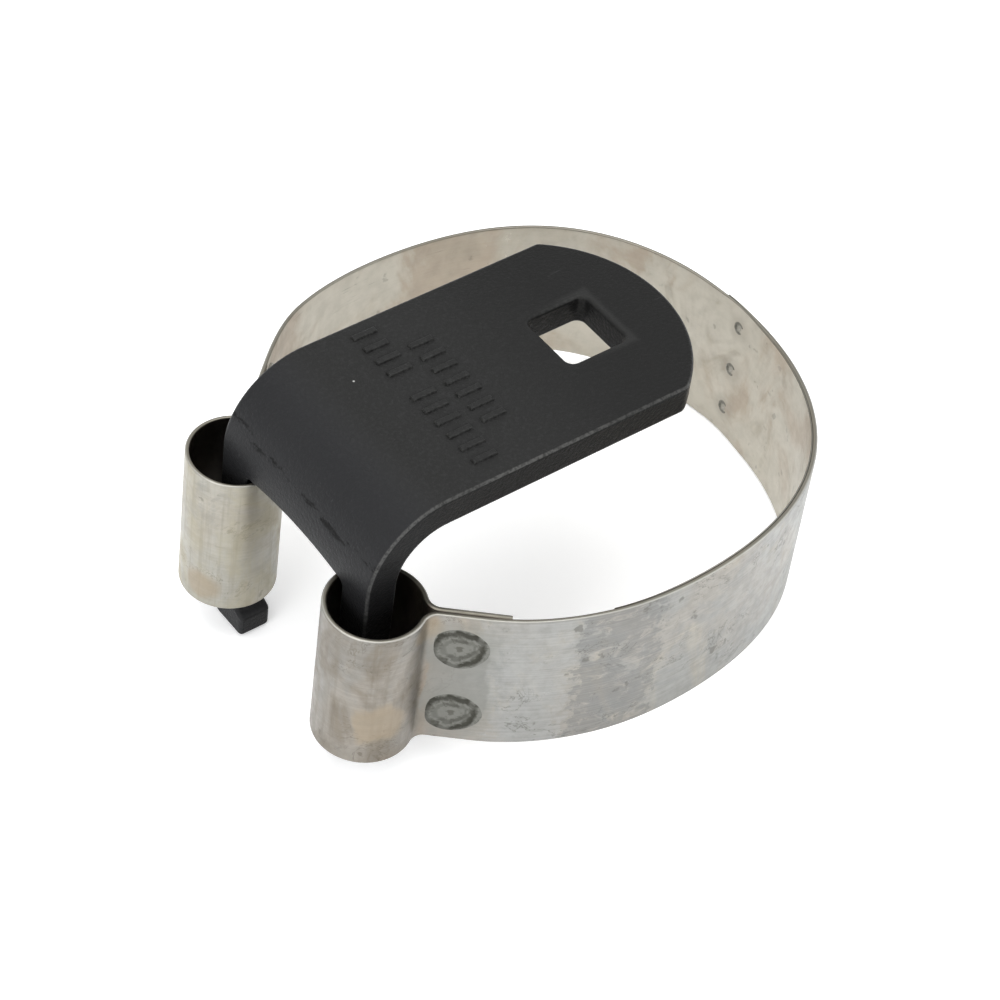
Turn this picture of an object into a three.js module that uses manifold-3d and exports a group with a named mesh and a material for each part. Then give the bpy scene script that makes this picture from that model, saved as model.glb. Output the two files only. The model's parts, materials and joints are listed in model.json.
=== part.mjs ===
// Band-type oil filter wrench for a 1/2 inch square drive.
//
// A thick pressed-steel drive plate turns down at one end into two prongs. A spring-steel band, made of two
// straps spot welded together opposite the prongs, ends in two rolled eyes that hang on those prongs.
//
// Everything is laid out in the plate's own axes, in millimetres: X runs along the plate towards the drive
// hole, Y across it, Z is square to its top face, and the origin is the middle of the drive hole on that face.
// The last lines stand the wrench on the ground: prong tips at one end, back of the band at the other.

import * as THREE from 'three';
import { mergeVertices } from 'three/addons/utils/BufferGeometryUtils.js';
import Module from 'manifold-3d';

const wasm = await Module();
wasm.setup();

// Drive plate
const PLATE_THICKNESS = 6.35;
const PLATE_WIDTH = 43.6;
const PLATE_NOSE = 19.2; // from the hole's middle to the crown of the rounded end
const PLATE_NOSE_RADIUS = 26.5;
const BEND_START = 44; // from the hole's middle to where the flat ends
const BEND_OUTER_RADIUS = 15.85;
const FLANGE_FACE = -(BEND_START + BEND_OUTER_RADIUS);
const DRIVE_SQUARE = 13;
const DRIVE_CORNER_RADIUS = 1.6;
const DIE_ROLL = 0.9;
const LIP_STEPS = 4;
const ARCH_DEPTH = -18.1; // underside of the flange between the prongs
const ARCH_RISE = 1.2;
const PRONG_TIP = -58.3;
const PRONG_INNER = 14.4; // half the distance between the prongs where the eyes sit
const BARB_INNER = 12.5; // the same between the barbs that keep the eyes on
const BARB_TOP = -53.6;
const TIP_CHAMFER = 1.2;

// Raised bars pressed into the plate's top, in two rows across it
const BAR_HEIGHT = 0.35;
const BAR_WIDTH = 1.3;
const BAR_PITCH = 3.5;
const BAR_ROWS = [
  { x: -25.9, length: 5, first: 11.5, groups: [7] },
  { x: -33.2, length: 5, first: 18.3, groups: [4, 6] },
];

// Band
const BAND_WIDTH = 31.75;
const BAND_TOP = -18.5;
const BAND_BOTTOM = BAND_TOP - BAND_WIDTH;
const RING_X = -5.15;
const RING_Y = 1.1;
const RING_OUTER_RADIUS = 49.75;
// The sprung strip isn't a true circle: [lobes round the ring, share of the radius]
const OUT_OF_ROUND = [[2, 0.0188], [3, 0.0085], [4, -0.0212]];
const REAR_STRIP = 0.8;
const FRONT_STRIP = 1.1;
const STRIP_GAP = 0.3;
const SEAM_ANGLE = 1;
const SEAM_HALF_LAP = 5.5; // degrees of overlap either side of the weld row
const JOGGLE_START = 9; // where the rear strap begins to step out to the ring's full radius
const JOGGLE_END = 24;
const RING_END = 116; // where the ring begins to straighten into the doubled neck of each eye
const NECK_EASE_STEPS = 9;
const RING_STEP = 3;

// Eyes: the strap's end rolled round and laid back along itself
const EYE_X = -57.3;
const EYE_Y = 21.05;
const EYE_INNER_RADIUS = 8.15;
const EYE_AXIS_ANGLE = 41; // of the doubled neck, from the plate's long axis
const NECK_FILLET = 3;
const TAIL_LENGTH = 23.4; // from the eye's middle to the end of the tail
const NECK_RUN = 19;
const EYE_STEPS = 44;
const FILLET_STEPS = 6;

// Spot welds
const WELD_CLEARANCE = 0.3;
const SEAM_WELD_RADIUS = 1.2;
const SEAM_WELD_DEPTHS = [-4.9, -15.6, -25.6];
const EYE_WELD_RADIUS = 4.4;
const EYE_WELD_DEPTHS = [-8, -24.7];
const EYE_WELD_ALONG = 15.2; // from the eye's middle along the neck

const radians = THREE.MathUtils.degToRad;
const model = new THREE.Group();

const blackOxide = { color: 0x35363a, roughness: 0.48, metalness: 0.6 };
const springSteel = { color: 0xb9b5ac, roughness: 0.34, metalness: 0.95 };
const weldSteel = { color: 0x7d7a74, roughness: 0.5, metalness: 0.85 };

// ---- Solids ----

function toSolid(geometry) {
  const bare = geometry.clone();
  bare.deleteAttribute('normal');
  bare.deleteAttribute('uv');
  const merged = mergeVertices(bare, 1e-4);
  return new wasm.Manifold(new wasm.Mesh({
    numProp: 3,
    vertProperties: new Float32Array(merged.attributes.position.array),
    triVerts: new Uint32Array(merged.index.array),
  }));
}

function toGeometry(solid) {
  const mesh = solid.getMesh();
  const geometry = new THREE.BufferGeometry();
  geometry.setAttribute('position', new THREE.BufferAttribute(mesh.vertProperties, 3));
  geometry.setIndex(new THREE.BufferAttribute(mesh.triVerts, 1));
  geometry.computeVertexNormals();
  return geometry;
}

function box(width, depth, height, x, y, z) {
  return toSolid(new THREE.BoxGeometry(width, depth, height).translate(x, y, z));
}

function extrude(shape, height, segments = 12) {
  return new THREE.ExtrudeGeometry(shape, { depth: height, bevelEnabled: false, curveSegments: segments });
}

function addPart(name, solid, finish) {
  const mesh = new THREE.Mesh(toGeometry(solid), new THREE.MeshStandardMaterial(finish));
  mesh.name = name;
  model.add(mesh);
}

// ---- Drive plate ----

// Section along the plate, thick flat and bend in one, drawn in X and Z
function plateSection() {
  const innerRadius = BEND_OUTER_RADIUS - PLATE_THICKNESS;
  const shape = new THREE.Shape();
  shape.moveTo(PLATE_NOSE + 1, 0);
  shape.lineTo(-BEND_START, 0);
  shape.absarc(-BEND_START, -BEND_OUTER_RADIUS, BEND_OUTER_RADIUS, Math.PI / 2, Math.PI, false);
  shape.lineTo(FLANGE_FACE, PRONG_TIP);
  shape.lineTo(FLANGE_FACE + PLATE_THICKNESS, PRONG_TIP);
  shape.lineTo(FLANGE_FACE + PLATE_THICKNESS, -BEND_OUTER_RADIUS);
  shape.absarc(-BEND_START, -BEND_OUTER_RADIUS, innerRadius, Math.PI, Math.PI / 2, true);
  shape.lineTo(PLATE_NOSE + 1, -PLATE_THICKNESS);
  const slab = extrude(shape, PLATE_WIDTH, 14);
  return toSolid(slab.rotateX(Math.PI / 2).translate(0, PLATE_WIDTH / 2, 0));
}

// Plan of the plate: parallel sides and a shallow rounded nose that meets them at corners
function platePlan() {
  const half = PLATE_WIDTH / 2;
  const noseCentre = PLATE_NOSE - PLATE_NOSE_RADIUS;
  const noseHalfAngle = Math.asin(half / PLATE_NOSE_RADIUS);
  const shape = new THREE.Shape();
  shape.moveTo(FLANGE_FACE - 1, -half - 1);
  shape.lineTo(noseCentre, -half - 1);
  shape.lineTo(noseCentre + PLATE_NOSE_RADIUS * Math.cos(noseHalfAngle), -half);
  shape.absarc(noseCentre, 0, PLATE_NOSE_RADIUS, -noseHalfAngle, noseHalfAngle, false);
  shape.lineTo(noseCentre, half + 1);
  shape.lineTo(FLANGE_FACE - 1, half + 1);
  return toSolid(extrude(shape, -PRONG_TIP + 2, 28).translate(0, 0, PRONG_TIP - 1));
}

// What is cut away between the prongs, drawn in Y and Z: an arch above, barbs at the foot
function prongGap() {
  const blend = 1.6;
  const below = PRONG_TIP - 1;
  const shape = new THREE.Shape();
  shape.moveTo(-BARB_INNER, below);
  shape.lineTo(BARB_INNER, below);
  shape.lineTo(BARB_INNER, BARB_TOP);
  shape.lineTo(PRONG_INNER, BARB_TOP + (PRONG_INNER - BARB_INNER) / 2);
  shape.lineTo(PRONG_INNER, ARCH_DEPTH - blend);
  shape.quadraticCurveTo(PRONG_INNER, ARCH_DEPTH, PRONG_INNER - blend, ARCH_DEPTH);
  shape.quadraticCurveTo(0, ARCH_DEPTH + 2 * ARCH_RISE, blend - PRONG_INNER, ARCH_DEPTH);
  shape.quadraticCurveTo(-PRONG_INNER, ARCH_DEPTH, -PRONG_INNER, ARCH_DEPTH - blend);
  shape.lineTo(-PRONG_INNER, BARB_TOP + (PRONG_INNER - BARB_INNER) / 2);
  shape.lineTo(-BARB_INNER, BARB_TOP);
  const cutter = extrude(shape, PLATE_THICKNESS + 2, 10);
  cutter.rotateX(Math.PI / 2).rotateZ(Math.PI / 2);
  return toSolid(cutter.translate(FLANGE_FACE - 1, 0, 0));
}

// Outline of the drive square with its small round corners, wider all round by spread
function driveSquare(spread) {
  const r = DRIVE_CORNER_RADIUS + spread;
  const reach = DRIVE_SQUARE / 2 - DRIVE_CORNER_RADIUS;
  const shape = new THREE.Shape();
  shape.moveTo(-reach, -reach - r);
  for (const [x, y, start] of [[1, -1, -90], [1, 1, 0], [-1, 1, 90], [-1, -1, 180]]) {
    shape.absarc(x * reach, y * reach, r, radians(start), radians(start + 90), false);
  }
  return shape;
}

// Square drive hole, and the soft lip a punch leaves round its top
function driveHole() {
  const skin = 0.02;
  const layers = [];
  for (let step = 0; step <= LIP_STEPS; step += 1) {
    const angle = (step / LIP_STEPS) * Math.PI / 2;
    const slice = extrude(driveSquare(DIE_ROLL * (1 - Math.cos(angle))), skin, 5);
    layers.push(toSolid(slice.translate(0, 0, DIE_ROLL * (Math.sin(angle) - 1))));
  }
  let hole = toSolid(extrude(driveSquare(0), PLATE_THICKNESS + 4, 5).translate(0, 0, -PLATE_THICKNESS - 2));
  for (let step = 0; step < LIP_STEPS; step += 1) {
    hole = hole.add(wasm.Manifold.hull([layers[step], layers[step + 1]]));
  }
  return hole;
}

function embossedBars() {
  const bars = [];
  for (const row of BAR_ROWS) {
    let y = row.first;
    for (const count of row.groups) {
      for (let index = 0; index < count; index += 1) {
        bars.push(box(row.length, BAR_WIDTH, 1 + BAR_HEIGHT, row.x, y, (BAR_HEIGHT - 1) / 2));
        y -= BAR_PITCH;
      }
      y -= BAR_PITCH;
    }
  }
  return bars;
}

function prongCorners() {
  const cutters = [];
  for (const side of [-1, 1]) {
    const corner = new THREE.BoxGeometry(PLATE_THICKNESS + 2, 2 * TIP_CHAMFER, 2 * TIP_CHAMFER);
    corner.rotateX(Math.PI / 4);
    corner.translate(FLANGE_FACE + PLATE_THICKNESS / 2, side * (PLATE_WIDTH / 2), PRONG_TIP);
    cutters.push(toSolid(corner));
  }
  return cutters;
}

function drivePlate() {
  let plate = plateSection().intersect(platePlan()).subtract(prongGap()).subtract(driveHole());
  for (const bar of embossedBars()) plate = plate.add(bar);
  for (const cutter of prongCorners()) plate = plate.subtract(cutter);
  return plate;
}

// ---- Straps ----

function smoothStep(value, low, high) {
  const share = THREE.MathUtils.clamp((value - low) / (high - low), 0, 1);
  return share * share * (3 - 2 * share);
}

function ringRadius(degrees) {
  let share = 1;
  for (const [lobes, amount] of OUT_OF_ROUND) share += amount * Math.cos(lobes * radians(degrees));
  return RING_OUTER_RADIUS * share;
}

function ringPoint(degrees, inset) {
  const radius = ringRadius(degrees) - inset;
  const angle = radians(degrees);
  return new THREE.Vector2(RING_X + radius * Math.cos(angle), RING_Y + radius * Math.sin(angle));
}

// Axes of one eye's neck: side is 1 for the rear eye and -1 for the front one.
// "along" runs from the eye out to the ring, "out" points away from the ring's inside.
function neckFrame(side) {
  const angle = radians(side * EYE_AXIS_ANGLE);
  const along = new THREE.Vector2(Math.cos(angle), Math.sin(angle));
  const out = new THREE.Vector2(-side * along.y, side * along.x);
  const centre = new THREE.Vector2(EYE_X, side * EYE_Y);
  const at = (s, y) => centre.clone().addScaledVector(along, s).addScaledVector(out, y);
  return { angle, at };
}

// Middle line of the rolled eye: in along the outer layer, round, and back out along the tail
function eyePath(side, strip) {
  const { at } = neckFrame(side);
  const loop = EYE_INNER_RADIUS + strip / 2;
  const offset = (strip + STRIP_GAP) / 2;
  const filletY = offset + NECK_FILLET;
  const filletX = Math.sqrt((loop + NECK_FILLET) ** 2 - filletY ** 2);
  const blend = Math.atan2(filletY, filletX);
  const points = [at(NECK_RUN, offset)];
  const fillet = (sign, from, to) => {
    for (let step = 0; step <= FILLET_STEPS; step += 1) {
      const turn = from + ((to - from) * step) / FILLET_STEPS;
      points.push(at(filletX + NECK_FILLET * Math.cos(turn), sign * filletY + NECK_FILLET * Math.sin(turn)));
    }
  };
  fillet(1, -Math.PI / 2, blend - Math.PI);
  for (let step = 1; step < EYE_STEPS; step += 1) {
    const turn = blend + ((2 * Math.PI - 2 * blend) * step) / EYE_STEPS;
    points.push(at(loop * Math.cos(turn), loop * Math.sin(turn)));
  }
  fillet(-1, Math.PI - blend, Math.PI / 2);
  points.push(at(TAIL_LENGTH, -offset));
  return points;
}

// Closed outline of a strip of even thickness round a middle line
function ribbon(points, strip) {
  const left = [];
  const right = [];
  points.forEach((point, index) => {
    const before = points[Math.max(index - 1, 0)];
    const after = points[Math.min(index + 1, points.length - 1)];
    const back = point.clone().sub(before).normalize();
    const ahead = after.clone().sub(point).normalize();
    const heading = back.clone().add(ahead).normalize();
    const corner = index > 0 && index < points.length - 1 ? heading.dot(ahead) : 1;
    const reach = strip / 2 / corner;
    left.push(new THREE.Vector2(point.x - heading.y * reach, point.y + heading.x * reach));
    right.push(new THREE.Vector2(point.x + heading.y * reach, point.y - heading.x * reach));
  });
  return new THREE.Shape([...left, ...right.reverse()]);
}

// Smooth hand-over from the ring's last points to the neck's first, without its two ends
function easeCurve(before, start, end, after) {
  const reach = start.distanceTo(end) / 3;
  const leave = start.clone().addScaledVector(start.clone().sub(before).normalize(), reach);
  const arrive = end.clone().addScaledVector(end.clone().sub(after).normalize(), reach);
  return new THREE.CubicBezierCurve(start, leave, arrive, end).getPoints(NECK_EASE_STEPS).slice(1, -1);
}

function disc(radius, length, centre, angle, depth) {
  const pin = new THREE.CylinderGeometry(radius, radius, length, 24).rotateZ(Math.PI / 2);
  pin.rotateZ(angle);
  return toSolid(pin.translate(centre.x, centre.y, depth));
}

function strap(side, strip, seamInset) {
  const points = [];
  const lapEnd = SEAM_ANGLE - side * SEAM_HALF_LAP;
  for (let degrees = lapEnd; side * degrees < RING_END; degrees += side * RING_STEP) {
    const inset = seamInset * (1 - smoothStep(side * degrees, JOGGLE_START, JOGGLE_END));
    points.push(ringPoint(degrees, inset + strip / 2));
  }
  const eye = eyePath(side, strip);
  const ease = easeCurve(points.at(-2), points.at(-1), eye[0], eye[1]);
  const outline = ribbon([...points, ...ease, ...eye], strip);
  let solid = toSolid(extrude(outline, BAND_WIDTH).translate(0, 0, BAND_BOTTOM));
  const seam = ringPoint(SEAM_ANGLE, 0);
  for (const depth of SEAM_WELD_DEPTHS) {
    const hole = disc(SEAM_WELD_RADIUS + WELD_CLEARANCE, 12, seam, radians(SEAM_ANGLE), BAND_TOP + depth);
    solid = solid.subtract(hole);
  }
  const { angle, at } = neckFrame(side);
  for (const depth of EYE_WELD_DEPTHS) {
    const radius = EYE_WELD_RADIUS + WELD_CLEARANCE;
    const across = angle + Math.PI / 2;
    solid = solid.subtract(disc(radius, 8, at(EYE_WELD_ALONG, 0), across, BAND_TOP + depth));
  }
  return solid;
}

// ---- Spot welds ----

// Small nugget through both straps at the seam
function seamWeld(depth) {
  const proud = 0.12;
  const stack = FRONT_STRIP + STRIP_GAP + REAR_STRIP;
  const middle = ringPoint(SEAM_ANGLE, stack / 2);
  return disc(SEAM_WELD_RADIUS, stack + 2 * proud, middle, radians(SEAM_ANGLE), BAND_TOP + depth);
}

// Large nugget through the eye's two layers, with the ring an electrode presses into each face
function eyeWeld(side, strip, depth) {
  const half = strip + STRIP_GAP / 2;
  const radius = EYE_WELD_RADIUS;
  const face = [[0, 0.05], [0.3, -0.02], [0.62, -0.14], [0.8, -0.1], [0.93, 0.1], [1, 0]];
  const profile = [
    ...face.map(([share, lift]) => new THREE.Vector2(share * radius, -half - lift)),
    ...face.map(([share, lift]) => new THREE.Vector2(share * radius, half + lift)).reverse(),
  ];
  const { angle, at } = neckFrame(side);
  const centre = at(EYE_WELD_ALONG, 0);
  const nugget = new THREE.LatheGeometry(profile, 28).rotateZ(angle);
  return toSolid(nugget.translate(centre.x, centre.y, BAND_TOP + depth));
}

// ---- Assembly ----

addPart('drive_plate', drivePlate(), blackOxide);
addPart('rear_strap', strap(1, REAR_STRIP, FRONT_STRIP + STRIP_GAP), springSteel);
addPart('front_strap', strap(-1, FRONT_STRIP, 0), springSteel);
SEAM_WELD_DEPTHS.forEach((depth, index) => addPart(`seam_weld_${index + 1}`, seamWeld(depth), weldSteel));
EYE_WELD_DEPTHS.forEach((depth, index) => {
  addPart(`rear_eye_weld_${index + 1}`, eyeWeld(1, REAR_STRIP, depth), weldSteel);
  addPart(`front_eye_weld_${index + 1}`, eyeWeld(-1, FRONT_STRIP, depth), weldSteel);
});

// Standing: the ground touches the prong tips and the lower edge of the band's back
const tipX = FLANGE_FACE + PLATE_THICKNESS;
const backX = RING_X + ringRadius(0);
const standing = new THREE.Group();
model.rotation.y = Math.atan2(BAND_BOTTOM - PRONG_TIP, backX - tipX);
standing.add(model);
standing.updateMatrixWorld(true);
const extent = new THREE.Box3().setFromObject(standing, true);
const centre = extent.getCenter(new THREE.Vector3());
standing.position.set(-centre.x, -centre.y, -extent.min.z);

export default standing;
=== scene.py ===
"""Looks of a band-type oil filter wrench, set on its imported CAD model, in metres.

The plate's own axes are used throughout: along runs from the bend towards the drive hole, across runs
from the front eye to the rear one, and up is square to the plate's top face. Their origin is the middle
of the drive hole on that face. Lengths in these axes are in millimetres, and place() turns them into
the row frame.
"""

import json
import math
import random

import bmesh
import bpy
from mathutils import Matrix, Vector


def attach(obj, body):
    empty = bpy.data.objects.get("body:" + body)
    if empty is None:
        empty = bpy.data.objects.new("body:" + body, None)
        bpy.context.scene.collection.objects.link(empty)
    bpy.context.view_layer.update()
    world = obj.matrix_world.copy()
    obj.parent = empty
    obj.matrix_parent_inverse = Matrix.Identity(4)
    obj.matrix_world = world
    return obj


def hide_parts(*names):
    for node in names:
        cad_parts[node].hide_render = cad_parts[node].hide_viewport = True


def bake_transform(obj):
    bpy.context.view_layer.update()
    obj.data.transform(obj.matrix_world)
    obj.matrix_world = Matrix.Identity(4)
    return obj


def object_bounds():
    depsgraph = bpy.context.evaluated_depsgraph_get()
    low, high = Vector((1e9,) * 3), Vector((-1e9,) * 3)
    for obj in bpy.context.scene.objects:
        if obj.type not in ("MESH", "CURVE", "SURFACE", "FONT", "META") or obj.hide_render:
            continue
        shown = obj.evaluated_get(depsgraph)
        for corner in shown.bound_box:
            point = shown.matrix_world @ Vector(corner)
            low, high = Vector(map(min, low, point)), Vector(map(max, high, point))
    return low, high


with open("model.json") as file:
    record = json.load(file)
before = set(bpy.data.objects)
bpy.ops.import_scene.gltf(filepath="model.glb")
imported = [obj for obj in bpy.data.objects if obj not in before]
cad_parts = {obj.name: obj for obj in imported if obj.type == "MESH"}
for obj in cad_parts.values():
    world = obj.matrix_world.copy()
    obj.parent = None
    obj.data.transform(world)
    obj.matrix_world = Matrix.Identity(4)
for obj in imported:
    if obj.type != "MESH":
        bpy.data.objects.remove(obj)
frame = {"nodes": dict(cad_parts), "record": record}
CAD_LOW, CAD_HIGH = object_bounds()

MM = 0.001
SEED = 11

# Camera: where it stands and how it is turned, worked out for the view that the object is shown in
CAMERA_AZIMUTH = math.radians(-39.40)
CAMERA_ELEVATION = math.radians(48.93)
CAMERA_ROLL = math.radians(3.19)
CAMERA_DISTANCE = 0.6271
CAMERA_AIM = Vector((-0.00572, -0.00588, 0.025))
CAMERA_LENS = 125.66
SENSOR_WIDTH = 36.0

# Plate axes in the row frame, from the mount at the drive hole
drive_seat = next(m for m in frame["record"]["mounts"] if m["name"] == "drive_seat")
UP = Vector(drive_seat["axis"]).normalized()
ACROSS = Vector((0, 1, 0))
ALONG = ACROSS.cross(UP)
SEAT_ALONG = 12.0  # the mount is this far from the hole's middle, towards the nose
DRIVE_CENTRE = Vector(drive_seat["pos_m"]) - ALONG * SEAT_ALONG * MM

# Plate
BEND_START = -44.0
STRETCH_LINE = -9.7  # height of the stretch marks on the bend
EDGE_ROUND = 0.8
BAR_ROUND = 0.4
BAR_RAISE = 0.18  # the visible bars stand this much prouder than their solids
BAR_BOX = ((-37.0, -22.0), (-20.5, 20.5), (-0.5, 1.0))  # lowest and highest along, across and up
JOIN_DISTANCE = 0.002  # corners of the CAD mesh nearer than this are one corner
FLAT_ANGLE = math.radians(1)
SHEARED_ANGLE = math.radians(32)  # edges sharper than this are rounded over
BAR_FOOT = 0.2  # edges of the bars above this height are softened

# Finish of the plate, with its painted shade and highlights: where each effect starts and where it is
# full
NOSE_SHADE = (-30.0, 4.0)  # along
LIP_REACH = (8.4, 7.2)  # from the hole's middle
LIP_DEPTH = (-1.6, -0.3)  # up
LIP_SIDE = (-4.0, 6.0)  # along
MARKS_ALONG = (-50.0, -56.0)
# Painted shade on the sheared sides below the flat top
SHEARED_UP = (-0.4, -1.0)
SHEARED_ALONG = (-44.0, -42.0)
# Painted shade on the prongs inside the eyes
PRONG_SHADE_TOP = (-18.5, -24.0)  # up, under the eyes' upper rims
PRONG_SHADE_FOOT = (-50.0, -48.0)  # up, above the eyes' lower rims
# Wear on the edges with a painted highlight along them, weaker low down and full on the front edge
EDGE_WEAR_AND_HIGHLIGHT_UP = (-24.0, -19.0)
EDGE_WEAR_AND_HIGHLIGHT_ACROSS = (-19.5, -21.2)

# Band
BAND_TOP = -18.5
BAND_WIDTH = 31.75
RING_CENTRE = Vector((-5.15, 1.1))
RING_RADIUS = 49.75
OUT_OF_ROUND = ((2, 0.0188), (3, 0.0085), (4, -0.0212))  # lobes round the ring, share of the radius
RING_STEP = 1.5
RING_END = 116.0
SEAM_ANGLE = 1.0
SEAM_LAP = 5.5
JOGGLE = (6.5, 20.0)
LEAF_THIN = (-4.0, 12.0)  # where the rear strap thins to the layer that runs on inside the front one
FRONT_THIN = (-7.0, 6.5)  # where the front strap's end is thinned down on the outside
FRONT_END_SHEET = 0.14
LEAF_END = -112.0
REAR_SHEET = 0.8
FRONT_SHEET = 0.95
LEAF_SHEET = 0.24
LEAF_END_SHEET = 0.06
LEAF_FADE = (-112.0, -90.0)
LAYER_GAP = 0.03
SLIT_RADIUS = 0.3
SLIT_RADIUS_SHARE = 0.42  # a thin sheet's slit edge has this share of its thickness as radius instead
EDGE_STEPS = 3
FACE_ROWS = 9

# Eyes
EYE_CENTRE = (-57.3, 21.05)
NECK_ANGLE = 41.0
NECK_FILLET = 3.0
NECK_RUN = 19.0
TAIL_END = 23.4
REAR_EYE_RADIUS = 8.95
FRONT_EYE_RADIUS = 9.25
REAR_NECK_FACE = 0.95  # from the neck's middle line to its outer face
FRONT_NECK_FACE = 1.25
REAR_NECK_GAP = 0.3
FRONT_NECK_GAP = 0.15
EYE_STEPS = 72
TAIL_STEPS = 4
FILLET_STEPS = 8
EASE_STEPS = 14
ROLLED_REACH = (9.3, 11.0)  # from the eye's middle: all rolled up to the first, flat from the second
CREASE_REACH = 10.3
CREASE_WIDTH = 1.5

# Brown stains: the distance from an eye's middle along and across, the depth below the rim, the radius
FRONT_EYE_STAIN = (-3.0, -8.6, -22.0, 6.0)
FRONT_FOOT_STAIN = (5.0, -8.0, -3.0, 3.0)
REAR_FOOT_STAIN = (-8.0, -3.0, -27.0, 4.0)

# Spot welds
WELD_SEGMENTS = 48
SEAM_WELD_DEPTHS = (-4.9, -15.6, -25.6)
EYE_WELD_DEPTHS = (-8.0, -24.7)
EYE_WELD_ALONG = 15.2
EYE_WELD_PROFILE = (  # distance from the middle, height above the sheet
    (0.0, 0.12), (0.35, 0.10), (0.7, 0.06), (1.4, 0.07), (2.1, 0.09), (2.4, 0.10), (2.8, 0.06),
    (3.1, 0.03), (3.6, 0.03), (4.0, 0.06), (4.3, 0.07), (4.6, 0.04), (4.9, 0.0), (5.4, -0.04),
)
SEAM_WELD_PROFILE = (
    (0.0, 0.04), (0.35, 0.035), (0.6, 0.015), (0.85, 0.035), (1.05, 0.05), (1.25, 0.03),
    (1.55, -0.02),
)


def in_metres(lengths):
    return [length * MM for length in lengths]


def place(along, across, up):
    """A point in the plate's axes, in millimetres, as a point of the row frame, in metres."""
    return DRIVE_CENTRE + (ALONG * along + ACROSS * across + UP * up) * MM


# ---- Plan lines of the band, in the plate's axes ----


def smooth_step(value, low, high):
    share = min(max((value - low) / (high - low), 0.0), 1.0)
    return share * share * (3 - 2 * share)


def ring_point(degrees, inset):
    angle = math.radians(degrees)
    share = 1 + sum(amount * math.cos(lobes * angle) for lobes, amount in OUT_OF_ROUND)
    radius = RING_RADIUS * share - inset
    return RING_CENTRE + Vector((math.cos(angle), math.sin(angle))) * radius


def neck_point(side, along, out):
    """A point by its distances from an eye's middle, along its neck and out from the ring's inside."""
    angle = math.radians(side * NECK_ANGLE)
    heading = Vector((math.cos(angle), math.sin(angle)))
    outward = Vector((-side * heading.y, side * heading.x))
    return Vector((EYE_CENTRE[0], side * EYE_CENTRE[1])) + heading * along + outward * out


def eye_line(side, sheet, eye_radius, neck_face, gap):
    """Middle line of a rolled eye: in along the outer layer, round, and back out along the tail."""
    loop = eye_radius - sheet / 2
    outer = neck_face - sheet / 2
    tail = outer - sheet - gap
    points = [neck_point(side, NECK_RUN, outer)]
    blends = []
    for level in (outer, -tail):
        height = level + NECK_FILLET
        reach = math.sqrt((loop + NECK_FILLET) ** 2 - height**2)
        blends.append((reach, height, math.atan2(height, reach)))

    def fillet(centre, sign, start, stop):
        for step in range(FILLET_STEPS + 1):
            turn = start + (stop - start) * step / FILLET_STEPS
            x = centre[0] + NECK_FILLET * math.cos(turn)
            points.append(neck_point(side, x, sign * centre[1] + NECK_FILLET * math.sin(turn)))

    fillet(blends[0], 1, -math.pi / 2, blends[0][2] - math.pi)
    start, stop = blends[0][2], 2 * math.pi - blends[1][2]
    for step in range(1, EYE_STEPS):
        turn = start + (stop - start) * step / EYE_STEPS
        points.append(neck_point(side, loop * math.cos(turn), loop * math.sin(turn)))
    fillet(blends[1], -1, math.pi - blends[1][2], math.pi / 2)
    for step in range(1, TAIL_STEPS + 1):
        x = blends[1][0] + (TAIL_END - blends[1][0]) * step / TAIL_STEPS
        points.append(neck_point(side, x, tail))
    return points


def ease_line(before, start, end, after):
    """Smooth hand-over from the ring's last points to the neck's first, without its two ends."""
    reach = (end - start).length / 3
    leave = start + (start - before).normalized() * reach
    arrive = end + (end - after).normalized() * reach
    points = []
    for step in range(1, EASE_STEPS):
        t = step / EASE_STEPS
        weights = ((1 - t) ** 3, 3 * t * (1 - t) ** 2, 3 * t * t * (1 - t), t**3)
        points.append(sum((p * w for p, w in zip((start, leave, arrive, end), weights)), Vector((0, 0))))
    return points


def front_sheet(degrees):
    return FRONT_SHEET + (FRONT_END_SHEET - FRONT_SHEET) * smooth_step(degrees, *FRONT_THIN)


def rear_sheet(degrees):
    leaf = LEAF_END_SHEET + (LEAF_SHEET - LEAF_END_SHEET) * smooth_step(degrees, *LEAF_FADE)
    return leaf + (REAR_SHEET - leaf) * smooth_step(degrees, *LEAF_THIN)


def rear_ring():
    """Middle line and thickness of the rear strap's ring, from the lap's end to the neck."""
    points, sheets = [], []
    degrees = LEAF_END
    while degrees < RING_END:
        sheet = rear_sheet(degrees)
        inset = (front_sheet(degrees) + LAYER_GAP) * (1 - smooth_step(degrees, *JOGGLE))
        points.append(ring_point(degrees, inset + sheet / 2))
        sheets.append(sheet)
        degrees += RING_STEP
    return points, sheets


def front_ring():
    points, sheets = [], []
    degrees = SEAM_ANGLE + SEAM_LAP
    while degrees > -RING_END:
        sheet = front_sheet(degrees)
        points.append(ring_point(degrees, sheet / 2))
        sheets.append(sheet)
        degrees -= RING_STEP
    return points, sheets


def whole_line(ring, eye, sheet):
    points, sheets = ring
    ease = ease_line(points[-2], points[-1], eye[0], eye[1])
    line = [*points, *ease, *eye]
    return line, sheets + [sheet] * (len(ease) + len(eye))


# ---- Meshes ----


def finish_mesh(bm, name, sharp_angle=40):
    mesh = bpy.data.meshes.new(name)
    bmesh.ops.recalc_face_normals(bm, faces=bm.faces)
    bm.to_mesh(mesh)
    bm.free()
    for polygon in mesh.polygons:
        polygon.use_smooth = True
    mesh.set_sharp_from_angle(angle=math.radians(sharp_angle))
    piece = bpy.data.objects.new(name, mesh)
    bpy.context.scene.collection.objects.link(piece)
    weighted = piece.modifiers.new("weighted normals", "WEIGHTED_NORMAL")
    weighted.keep_sharp = True
    return piece


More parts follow.
